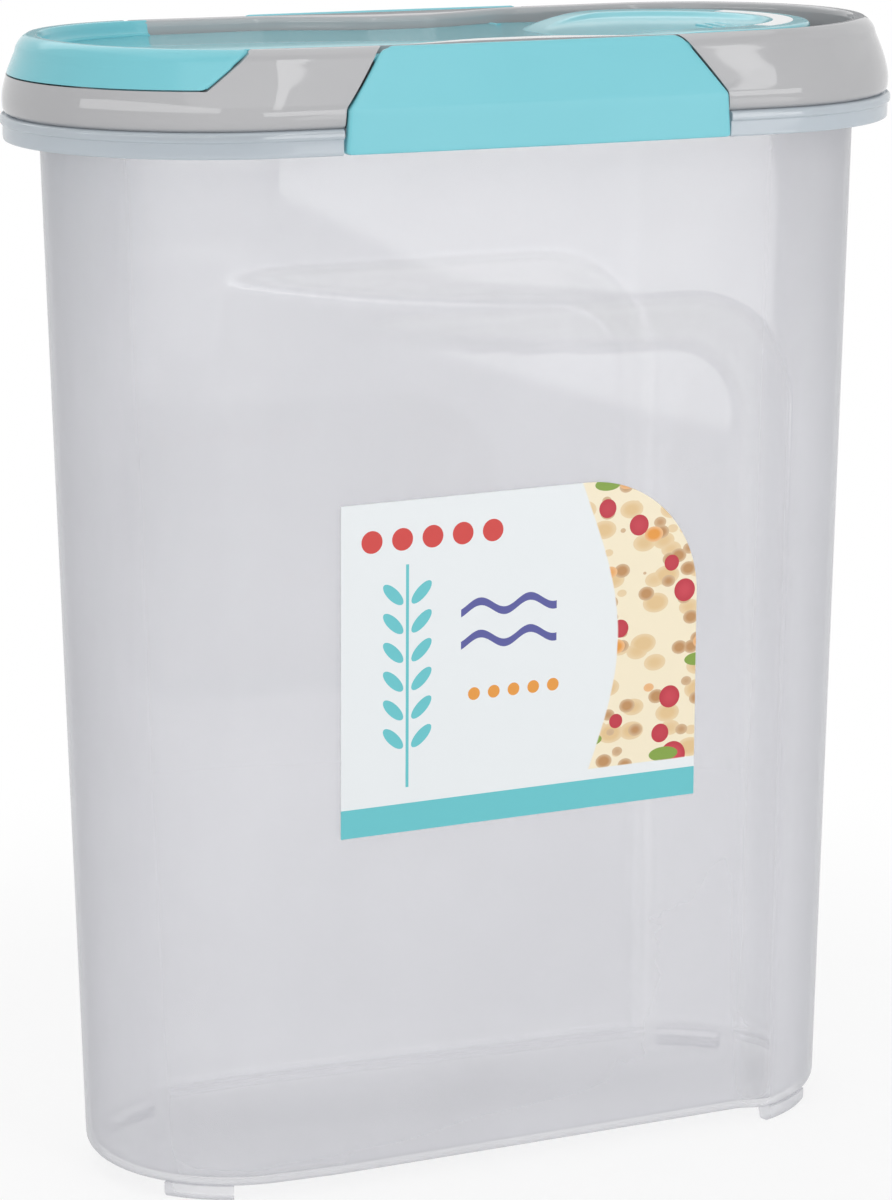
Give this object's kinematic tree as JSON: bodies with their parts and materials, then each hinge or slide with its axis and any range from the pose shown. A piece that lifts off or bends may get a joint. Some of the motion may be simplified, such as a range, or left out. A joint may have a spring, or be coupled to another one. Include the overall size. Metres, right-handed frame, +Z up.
{
  "type": "cereal container",
  "caption": "Tall oval food keeper with a pinched rear grip, clip-down lid, and a rocking flip spout opened by pressing its thumb pad.",
  "frame": {"origin": "centre of the base, in the plane that the feet stand on", "axes": "+Z up, +X from the spout end to the grip end, -Y towards the labelled front"},
  "size_m": [0.254, 0.1218, 0.3153],
  "materials": {
    "clear_plastic": "milky translucent polypropylene with a satin outside",
    "grey_plastic": "glossy light grey polypropylene",
    "aqua_plastic": "semi-gloss aqua polypropylene",
    "label_film": "printed white film label with a satin face",
    "seal": "translucent white silicone",
    "sticker": "blank white sticker"
  },
  "bodies": {
    "container": {"container": "clear_plastic", "front_label": "label_film", "lid_frame": "grey_plastic", "lid_gasket": "seal"},
    "front_clip": {"front_clip": "aqua_plastic"},
    "rear_clip": {"rear_clip": "aqua_plastic"},
    "spout_flap": {"spout_flap": "aqua_plastic", "flap_seal": "seal", "pad_sticker": "sticker"}
  },
  "joints": [
    {"name": "spout_rock", "type": "hinge", "parent": "container", "child": "spout_flap", "pos_m": [0.03, 0, 0.3087], "axis": [0, 1, 0], "range_deg": [0, 5]},
    {"name": "front_clip_swing", "type": "hinge", "parent": "container", "child": "front_clip", "pos_m": [0, -0.0528, 0.3118], "axis": [-1, 0, 0], "range_deg": [0, 40]},
    {"name": "rear_clip_swing", "type": "hinge", "parent": "container", "child": "rear_clip", "pos_m": [0, 0.0528, 0.3118], "axis": [1, 0, 0], "range_deg": [0, 40]}
  ]
}
